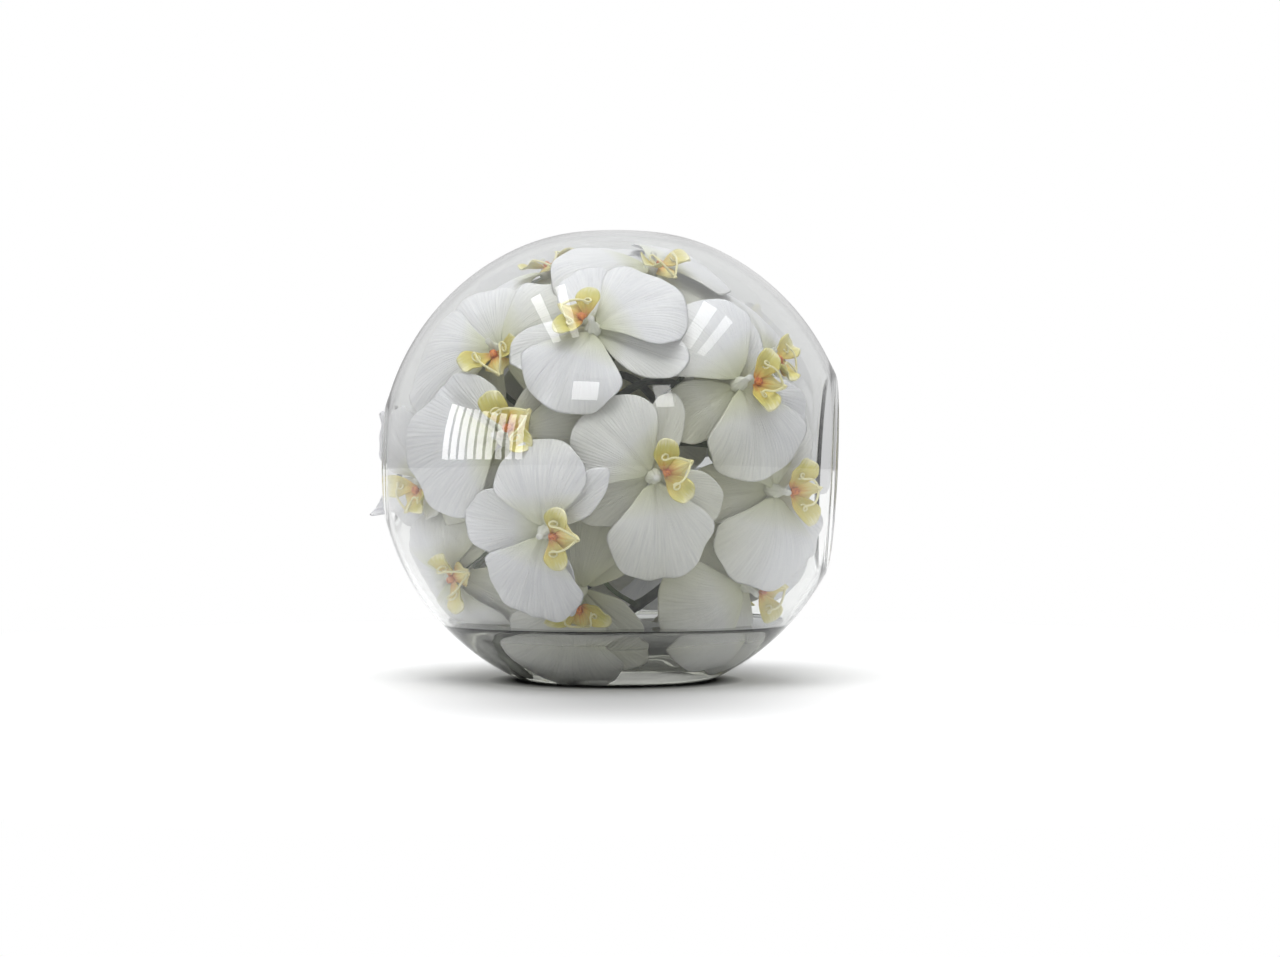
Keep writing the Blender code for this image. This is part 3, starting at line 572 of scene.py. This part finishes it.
def water_patch():
    """The cast disc: a profile turned round Z, flat on top with a small meniscus at the glass, then along the
    inner wall. It is set into the glass by a fifth of a millimetre, so that no air shows between them."""
    radius = BOWL_R - WALL + SET_IN
    edge = WATER_TOP + MENISCUS - CENTRE_Z
    top_r = math.sqrt(radius**2 - edge**2)
    r_top = top_r * np.linspace(0.004, 1, 90) ** 0.75
    z_top = WATER_TOP + MENISCUS * np.exp((r_top - top_r) / MENISCUS_REACH)
    first = math.acos(edge / radius)
    fall = np.linspace(first, np.pi - 0.002, 70)[1:]
    r_wall, z_wall = radius * np.sin(fall), CENTRE_Z + radius * np.cos(fall)
    r, z = np.concatenate([r_top, r_wall]), np.concatenate([z_top, z_wall])
    floor = FLOOR_T - SET_IN
    z = floor + FLOOR_ROUNDING * np.logaddexp(0, (z - floor) / FLOOR_ROUNDING)
    around = np.arange(160) * 2 * np.pi / 160
    rings = np.stack(np.broadcast_arrays(
        r[:, None] * np.cos(around), r[:, None] * np.sin(around), z[:, None]), axis=-1)
    return ring_patch(rings)


# Materials


def add(tree, kind, inputs=None, **settings):
    """A node of a shader tree. inputs gives a socket's name or number a value, or the socket that feeds it."""
    made = tree.nodes.new(kind)
    for key, value in settings.items():
        setattr(made, key, value)
    for key, value in (inputs or {}).items():
        if isinstance(value, bpy.types.NodeSocket):
            tree.links.new(value, made.inputs[key])
        else:
            made.inputs[key].default_value = value
    return made


def blend_colours(tree, factor, first, second):
    """The colour socket of a Mix node."""
    return add(tree, "ShaderNodeMix", {0: factor, 6: first, 7: second}, data_type="RGBA").outputs[2]


def steps(tree, value, stops):
    """A colour ramp over (position, grey or colour) stops."""
    made = add(tree, "ShaderNodeValToRGB", {0: value})
    ramp = made.color_ramp
    while len(ramp.elements) < len(stops):
        ramp.elements.new(0.5)
    for element, (position, colour) in zip(ramp.elements, stops, strict=True):
        element.position = position
        element.color = (*colour, 1) if isinstance(colour, tuple) else (colour, colour, colour, 1)
    return made.outputs["Color"]


def arithmetic(tree, how, *values):
    """The value socket of a Math node."""
    return add(tree, "ShaderNodeMath", dict(enumerate(values)), operation=how).outputs[0]


def new_material(name):
    """A material, its empty tree, and the tree's output node."""
    material = bpy.data.materials.new(name)
    material.use_nodes = True
    tree = material.node_tree
    tree.nodes.clear()
    return material, tree, add(tree, "ShaderNodeOutputMaterial")


def make_veins():
    """Fine creases that radiate from a blade's root. Reads the growth UV: angle across, distance from the root."""
    group = bpy.data.node_groups.new("radiating_veins", "ShaderNodeTree")
    for name, value in (("Spread", 30.0), ("Run", 2.0), ("Tone", 0.5)):
        group.interface.new_socket(name, in_out="INPUT", socket_type="NodeSocketFloat").default_value = value
    group.interface.new_socket("Height", in_out="OUTPUT", socket_type="NodeSocketFloat")
    group.interface.new_socket("Streak", in_out="OUTPUT", socket_type="NodeSocketFloat")
    source = add(group, "NodeGroupInput")
    apart = add(group, "ShaderNodeSeparateXYZ", {0: add(group, "ShaderNodeUVMap", uv_map="growth").outputs[0]})
    across = arithmetic(group, "MULTIPLY", apart.outputs[0], source.outputs["Spread"])
    along = arithmetic(group, "MULTIPLY", apart.outputs[1], source.outputs["Run"])
    seed = arithmetic(group, "MULTIPLY", source.outputs["Tone"], 40.0)
    where = add(group, "ShaderNodeCombineXYZ", {0: across, 1: along, 2: seed}).outputs[0]
    fine = add(group, "ShaderNodeTexNoise", {"Vector": where, "Scale": 1.0, "Detail": 4.0, "Roughness": 0.65})
    ridges = arithmetic(group, "PINGPONG", arithmetic(group, "ADD", across, fine.outputs[0]), 1.0)
    height = arithmetic(group, "ADD", arithmetic(group, "MULTIPLY", ridges, 0.22), fine.outputs[0])
    target = add(group, "NodeGroupOutput")
    group.links.new(height, target.inputs["Height"])
    group.links.new(fine.outputs[0], target.inputs["Streak"])
    return group


VEINS = make_veins()


def veined(tree, spread, run, tone):
    """The veins group placed in a material: its streak and height sockets."""
    made = add(tree, "ShaderNodeGroup", {"Spread": spread, "Run": run, "Tone": tone}, node_tree=VEINS)
    return made.outputs["Streak"], made.outputs["Height"]


def petal_finish():
    """White silk petal: lavender-grey streaks along the veins, greenish cream towards the root, a painted darker
    olive shade far inside the bowl, a little light through it from behind, and fine creases in relief."""
    material, tree, output = new_material("petal_white")
    tone = add(tree, "ShaderNodeAttribute", attribute_name="tone").outputs["Fac"]
    streak, height = veined(tree, 42.0, 2.6, tone)
    apart = add(tree, "ShaderNodeSeparateXYZ", {0: add(tree, "ShaderNodeUVMap", uv_map="growth").outputs[0]})
    fibre = steps(tree, streak, [(0.30, (0.70, 0.70, 0.73)), (0.62, (0.86, 0.86, 0.86))])
    shade = blend_colours(tree, arithmetic(tree, "MULTIPLY", tone, 0.5), fibre, (0.84, 0.84, 0.88, 1))
    root = steps(tree, apart.outputs[1], [(0.04, 0.85), (0.40, 0.0)])
    colour = blend_colours(tree, root, shade, (0.68, 0.70, 0.42, 1))
    where = add(tree, "ShaderNodeTexCoord").outputs["Object"]
    # Painted shade: towards the bowl's middle, where the inner blooms lie in shade, the colour turns a darker olive
    # (0.52, 0.52, 0.28).
    from_middle = add(tree, "ShaderNodeVectorMath", {0: where, 1: (0, 0, CENTRE_Z)}, operation="DISTANCE")
    painted_inner_shade = steps(tree, arithmetic(tree, "MULTIPLY", from_middle.outputs["Value"], 7.0), [(0.58, 0.85), (0.80, 0.0)])
    colour = blend_colours(tree, painted_inner_shade, colour, (0.52, 0.52, 0.28, 1))
    crumple = add(tree, "ShaderNodeTexNoise", {"Vector": where, "Scale": 120.0, "Detail": 3.0})
    relief = arithmetic(tree, "ADD", height, arithmetic(tree, "MULTIPLY", crumple.outputs[0], 1.2))
    bump = add(tree, "ShaderNodeBump", {"Strength": 0.75, "Distance": 0.0007, "Height": relief}).outputs[0]
    body = add(tree, "ShaderNodeBsdfPrincipled", {"Base Color": colour, "Roughness": 0.52, "Normal": bump})
    body.inputs["Specular IOR Level"].default_value = 0.35
    body.inputs["Sheen Weight"].default_value = 0.08
    through = add(tree, "ShaderNodeBsdfTranslucent", {"Color": colour, "Normal": bump})
    both = add(tree, "ShaderNodeMixShader", {0: 0.28, 1: body.outputs[0], 2: through.outputs[0]})
    tree.links.new(both.outputs[0], output.inputs["Surface"])
    return material


def lip_finish():
    """Yellow lip. The tone says which part: 0 the orange-red callus, 0.5 the side lobes, orange at the throat with
    red-brown streaks, then yellow with olive patches and a cream edge, 0.75 the middle lobe, 1 the cream
    tendrils."""
    material, tree, output = new_material("lip_yellow")
    tone = add(tree, "ShaderNodeAttribute", attribute_name="tone").outputs["Fac"]
    streak, height = veined(tree, 9.0, 1.0, 0.3)
    apart = add(tree, "ShaderNodeSeparateXYZ", {0: add(tree, "ShaderNodeUVMap", uv_map="growth").outputs[0]})
    where = add(tree, "ShaderNodeTexCoord").outputs["Object"]
    patchy = add(tree, "ShaderNodeTexNoise", {"Vector": where, "Scale": 110.0, "Detail": 2.0}).outputs[0]
    uneven = arithmetic(tree, "ADD", apart.outputs[1], arithmetic(
        tree, "MULTIPLY", arithmetic(tree, "SUBTRACT", streak, 0.5), 0.8))
    lobe = steps(tree, uneven, [
        (0.02, (0.55, 0.14, 0.02)), (0.16, (0.64, 0.36, 0.06)), (0.34, (0.68, 0.55, 0.12)),
        (0.74, (0.72, 0.66, 0.22)), (0.94, (0.86, 0.82, 0.56))])
    lobe = blend_colours(tree, steps(tree, patchy, [(0.42, 0.0), (0.70, 0.55)]), lobe, (0.50, 0.48, 0.12, 1))
    middle = steps(tree, uneven, [
        (0.10, (0.50, 0.12, 0.02)), (0.28, (0.70, 0.44, 0.10)), (0.54, (0.76, 0.66, 0.24)),
        (0.90, (0.86, 0.80, 0.44))])
    speck = add(tree, "ShaderNodeTexNoise", {"Vector": where, "Scale": 1100.0, "Detail": 1.0}).outputs[0]
    callus = steps(tree, speck, [(0.42, (0.74, 0.26, 0.04)), (0.62, (0.44, 0.08, 0.02))])
    colour = blend_colours(tree, steps(tree, tone, [(0.20, 0.0), (0.40, 1.0)]), callus, lobe)
    colour = blend_colours(tree, steps(tree, tone, [(0.60, 0.0), (0.70, 1.0)]), colour, middle)
    colour = blend_colours(tree, steps(tree, tone, [(0.85, 0.0), (0.95, 1.0)]), colour, (0.84, 0.80, 0.48, 1))
    bump = add(tree, "ShaderNodeBump", {"Strength": 0.6, "Distance": 0.0005, "Height": height})
    body = add(tree, "ShaderNodeBsdfPrincipled", {
        "Base Color": colour, "Roughness": 0.42, "Normal": bump.outputs[0]})
    through = add(tree, "ShaderNodeBsdfTranslucent", {"Color": colour, "Normal": bump.outputs[0]})
    both = add(tree, "ShaderNodeMixShader", {0: 0.18, 1: body.outputs[0], 2: through.outputs[0]})
    tree.links.new(both.outputs[0], output.inputs["Surface"])
    return material


def stem_finish():
    """Dark green-black bark, greener along the flower stalks, with lengthwise grain."""
    material, tree, output = new_material("stem_dark")
    tone = add(tree, "ShaderNodeAttribute", attribute_name="tone").outputs["Fac"]
    where = add(tree, "ShaderNodeTexCoord").outputs["Object"]
    _, height = veined(tree, 14.0, 3.0, 0.7)
    mottle = add(tree, "ShaderNodeTexNoise", {"Vector": where, "Scale": 180.0, "Detail": 4.0}).outputs[0]
    dark = steps(tree, mottle, [(0.35, (0.016, 0.022, 0.014)), (0.65, (0.050, 0.060, 0.038))])
    green = steps(tree, mottle, [(0.35, (0.10, 0.15, 0.05)), (0.65, (0.20, 0.26, 0.10))])
    colour = blend_colours(tree, tone, dark, green)
    bump = add(tree, "ShaderNodeBump", {"Strength": 0.5, "Distance": 0.0004, "Height": height})
    rough = steps(tree, mottle, [(0.3, 0.38), (0.7, 0.55)])
    body = add(tree, "ShaderNodeBsdfPrincipled", {
        "Base Color": colour, "Roughness": rough, "Normal": bump.outputs[0]})
    tree.links.new(body.outputs[0], output.inputs["Surface"])
    return material


def clear_finish(name, colour, ior, wave_scale, wave_depth):
    """Clear cast material with a faint waviness. Light on its way to a surface inside passes straight through."""
    material, tree, output = new_material(name)
    where = add(tree, "ShaderNodeTexCoord").outputs["Object"]
    wave = add(tree, "ShaderNodeTexNoise", {"Vector": where, "Scale": wave_scale, "Detail": 1.0}).outputs[0]
    bump = add(tree, "ShaderNodeBump", {"Strength": 1.0, "Distance": wave_depth, "Height": wave}).outputs[0]
    body = add(tree, "ShaderNodeBsdfPrincipled", {"Base Color": (*colour, 1), "Roughness": 0.0, "Normal": bump})
    body.inputs["IOR"].default_value = ior
    body.inputs["Transmission Weight"].default_value = 1.0
    clear = add(tree, "ShaderNodeBsdfTransparent", {"Color": (*(c**0.5 for c in colour), 1)})
    path = add(tree, "ShaderNodeLightPath")
    passing = arithmetic(tree, "MAXIMUM", path.outputs["Is Shadow Ray"], path.outputs["Is Diffuse Ray"])
    both = add(tree, "ShaderNodeMixShader", {0: passing, 1: body.outputs[0], 2: clear.outputs[0]})
    tree.links.new(both.outputs[0], output.inputs["Surface"])
    return material


petal_white = petal_finish()
lip_yellow = lip_finish()
stem_dark = stem_finish()
glass = clear_finish("clear_glass", (0.940, 0.947, 0.940), 1.5, 9.0, 0.0006)
resin = clear_finish("faux_water", (0.88, 0.88, 0.82), 1.49, 30.0, 0.0004)

make_piece("blown_bowl", [bowl_patch()], glass, "glass", "glass_bowl")
make_piece("cast_water", [water_patch()], resin, "faux_water", "faux_water")
for stem_name, rows in ARRANGEMENT.items():
    make_piece(stem_name + "_grown", stem_patches(stem_name, rows), stem_dark, "stem", stem_name)
    for row in rows:
        number = row["name"]
        parts = [petal_patch(blade_name, row) for blade_name in BLADES] + [column_patch(row)]
        make_piece("bloom_" + number, parts, petal_white, "petal", "petals_" + number)
        make_piece("lip_fine_" + number, lip_patches(row), lip_yellow, "lip", "lip_" + number)


# Studio

FLOOR_Z = -0.0005


def studio_floor():
    """A plain matt white ground just under the foot. Its colour carries a painted dark contact shadow there and a
    painted soft wide shadow towards the viewer, and it turns into even white further off."""
    mesh = bpy.data.meshes.new("studio_floor")
    corners = [(x, y, FLOOR_Z) for x, y in ((-6, -6), (6, -6), (6, 10), (-6, 10))]
    mesh.from_pydata(corners, [], [(0, 1, 2, 3)])
    obj = bpy.data.objects.new("studio_floor", mesh)
    bpy.context.scene.collection.objects.link(obj)
    material, tree, output = new_material("studio_white_painted_shadow")
    where = add(tree, "ShaderNodeTexCoord").outputs["Object"]
    away = add(tree, "ShaderNodeVectorMath", {0: where}, operation="LENGTH").outputs["Value"]
    # Painted contact shadow: nearly black under the foot, turning white about 71 mm from the middle.
    shade = steps(tree, arithmetic(tree, "MULTIPLY", away, 10.0), [(0.55, 0.02), (0.71, 0.86)])
    # Painted soft shadow: an ellipse centred some 135 mm in front of the bowl, half as light at its middle.
    painted_shadow_spot = add(tree, "ShaderNodeMapping", {0: where, "Location": (0, 0.62, 0), "Scale": (6.2, 4.6, 1)}).outputs[0]
    soft = add(tree, "ShaderNodeVectorMath", {0: painted_shadow_spot}, operation="LENGTH").outputs["Value"]
    soft = add(tree, "ShaderNodeMapRange", {
        "Value": soft, "From Min": 0.0, "From Max": 1.0, "To Min": 0.50, "To Max": 1.0},
        interpolation_type="SMOOTHSTEP")
    shade = arithmetic(tree, "MULTIPLY", shade, soft.outputs[0])
    body = add(tree, "ShaderNodeBsdfPrincipled", {"Base Color": shade, "Roughness": 0.9})
    body.inputs["Specular IOR Level"].default_value = 0.0
    even = add(tree, "ShaderNodeEmission", {"Color": (1, 1, 1, 1), "Strength": 1.0})
    far = steps(tree, away, [(0.28, 0.0), (0.62, 1.0)])
    both = add(tree, "ShaderNodeMixShader", {0: far, 1: body.outputs[0], 2: even.outputs[0]})
    tree.links.new(both.outputs[0], output.inputs["Surface"])
    mesh.materials.append(material)


def panel_light(name, centre, aim, width, height, radiance, mirror=True):
    """A rectangular light of a given radiance that faces aim. A mirror light shows only as a reflection."""
    data = bpy.data.lights.new(name, "AREA")
    data.shape = "RECTANGLE"
    data.size, data.size_y = width, height
    data.energy = radiance * width * height * 4
    obj = bpy.data.objects.new(name, data)
    obj.location = centre
    obj.rotation_euler = (Vector(aim) - Vector(centre)).to_track_quat("-Z", "Y").to_euler()
    bpy.context.scene.collection.objects.link(obj)
    obj.visible_diffuse = not mirror
    obj.visible_glossy = mirror
    obj.visible_camera = False
    obj.visible_transmission = False


def studio_light():
    """White surroundings, which mirrored rays see as a dim room in front of a white backdrop, a soft key overhead,
    and panels that only the glass shows: a tall lattice window to the left, four ceiling strips that run away from
    the viewer, and two small windows behind the viewer."""
    world = bpy.data.worlds.new("studio")
    world.use_nodes = True
    bpy.context.scene.world = world
    tree = world.node_tree
    tree.nodes.clear()
    way = add(tree, "ShaderNodeSeparateXYZ", {0: add(tree, "ShaderNodeTexCoord").outputs["Generated"]})
    side = arithmetic(tree, "ABSOLUTE", way.outputs[0])
    room = steps(tree, side, [(0.25, (0.65, 0.65, 0.66)), (0.75, 0.49), (1.0, 0.42)])
    high = steps(tree, way.outputs[2], [(0.35, 0.0), (0.85, 1.0)])
    colour = blend_colours(tree, high, room, (0.95, 0.96, 0.97, 1))
    soft = add(tree, "ShaderNodeBackground", {"Color": colour, "Strength": 1.0})
    plain = add(tree, "ShaderNodeBackground", {"Color": (1, 1, 1, 1), "Strength": 1.0})
    dim = steps(tree, way.outputs[2], [(0.0, 0.34), (0.45, 0.16), (0.95, 0.45)])
    backdrop = steps(tree, way.outputs[2], [(0.0, 0.40), (0.25, 0.92)])
    dim = blend_colours(tree, steps(tree, way.outputs[1], [(0.15, 0.0), (0.55, 1.0)]), dim, backdrop)
    dim = add(tree, "ShaderNodeBackground", {"Color": dim, "Strength": 1.0})
    path = add(tree, "ShaderNodeLightPath")
    mirrored = arithmetic(tree, "MULTIPLY", path.outputs["Is Reflection Ray"], path.outputs["Is Glossy Ray"])
    soft = add(tree, "ShaderNodeMixShader", {0: mirrored, 1: soft.outputs[0], 2: dim.outputs[0]})
    seen = path.outputs["Is Camera Ray"]
    both = add(tree, "ShaderNodeMixShader", {0: seen, 1: soft.outputs[0], 2: plain.outputs[0]})
    tree.links.new(both.outputs[0], add(tree, "ShaderNodeOutputWorld").inputs["Surface"])
    middle = (0, 0, CENTRE_Z)
    panel_light("key_overhead", (-0.10, -0.40, 1.6), middle, 1.0, 1.0, 4.9, mirror=False)
    for k in range(9):
        angle = math.radians(-86 + k * 5.2)
        spot = (2.0 * math.sin(angle), -2.0 * math.cos(angle), 0.50)
        panel_light(f"lattice_{k + 1}", spot, (0, 0, 0.2), 0.125, 0.66, 7.0)
    strips = ((-1.10, 0.17, 4.0), (-0.72, 0.14, 4.0), (1.36, 0.26, 3.0), (1.78, 0.20, 3.0))
    for k, (x, width, radiance) in enumerate(strips):
        panel_light(f"strip_{k + 1}", (x, -0.45, 2.4), (x, -0.45, 0), width, 1.5, radiance)
    panel_light("small_window_1", (-0.50, -1.8, 1.31), middle, 0.45, 0.34, 5.0)
    panel_light("small_window_2", (0.83, -1.8, 1.27), middle, 0.32, 0.40, 5.0)


def photographer_view():
    """A level camera in front of the bowl, a little below its middle."""
    data = bpy.data.cameras.new("view")
    data.sensor_width = 36.0
    data.lens = 72.61
    obj = bpy.data.objects.new("view", data)
    obj.location = (0.0132, -1.424, 0.1104)
    obj.rotation_euler = (math.pi / 2, 0, 0)
    bpy.context.scene.collection.objects.link(obj)
    bpy.context.scene.camera = obj


studio_floor()
studio_light()
photographer_view()
bpy.context.scene.view_settings.view_transform = "Standard"
